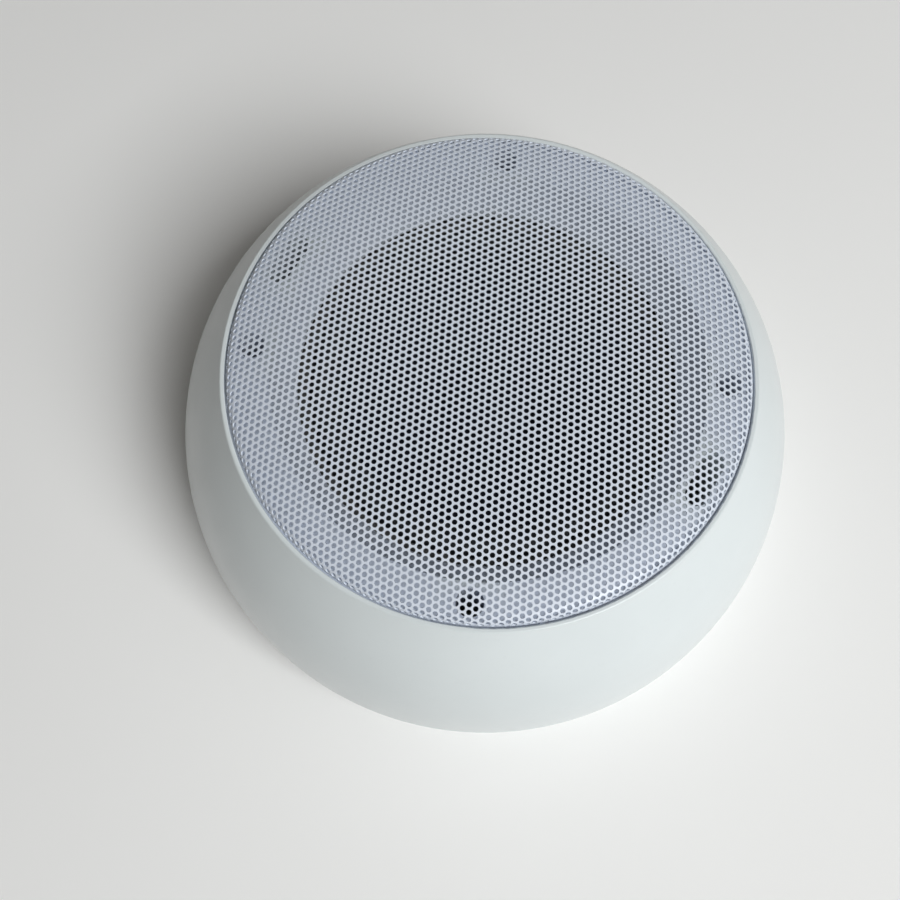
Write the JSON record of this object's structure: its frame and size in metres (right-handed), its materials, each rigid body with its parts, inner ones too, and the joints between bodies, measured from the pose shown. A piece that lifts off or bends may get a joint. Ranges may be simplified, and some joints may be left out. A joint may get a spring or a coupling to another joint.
{
  "type": "surface mounted ceiling speaker",
  "caption": "Round surface mounted ceiling speaker: ball-shaped plastic housing with a flat back, domed perforated steel grille, cone driver and line transformer inside.",
  "frame": {"origin": "centre of the flat back, the face that goes against the ceiling", "axes": "+Z out of the back through the middle of the grille; +X towards one of the four screw wells"},
  "size_m": [0.245, 0.245, 0.11],
  "materials": {
    "white_plastic": "satin off-white moulding",
    "white_plastic_inner": "satin off-white moulding",
    "white_steel": "powder coat over perforated steel",
    "zinc_screw": "zinc plated",
    "black_steel": "black paint",
    "zinc_steel": "zinc plated",
    "ferrite": "ground ferrite",
    "card": "pressed card",
    "foam": "closed-cell foam",
    "black_rubber": "matt rubber",
    "black_paper": "pressed paper",
    "amber_cloth": "resin-dipped cloth",
    "amber_tube": "film tube",
    "copper": "enamelled copper",
    "core_steel": "stacked sheets, varnished",
    "dark_plastic": "moulded",
    "board": "laminate",
    "tinned_brass": "tinned",
    "grey_plastic": "moulded",
    "wire_cover": "insulated wire"
  },
  "bodies": {
    "speaker": {"housing": "white_plastic", "back_plate": "white_plastic_inner", "grille": "white_steel", "housing_screws": "zinc_screw", "driver_screws": "zinc_screw", "transformer_screws": "zinc_screw", "terminal_block_fixing": "zinc_screw", "terminal_block_screws": "zinc_screw", "basket": "black_steel", "front_plate": "zinc_steel", "yoke": "zinc_steel", "magnet": "ferrite", "card_gasket": "card", "driver_seal": "foam", "surround": "black_rubber", "cable_grommet": "black_rubber", "spider": "amber_cloth", "tinsel_leads": "copper", "transformer_winding": "copper", "transformer_core": "core_steel", "transformer_bobbin": "dark_plastic", "terminal_strip": "board", "terminal_tags": "tinned_brass", "transformer_bracket": "zinc_steel", "terminal_block": "grey_plastic", "input_wires": "wire_cover", "driver_wires": "wire_cover"},
    "moving_system": {"cone": "black_paper", "dust_cap": "black_paper", "coil_former": "amber_tube", "voice_coil": "copper"}
  },
  "joints": [
    {"name": "cone_travel", "type": "slide", "parent": "speaker", "child": "moving_system", "axis": [0, 0, 1], "range_m": [-0.003, 0.003], "stiffness_N_per_m": 2000, "deforming": ["surround", "spider", "tinsel_leads"]}
  ]
}
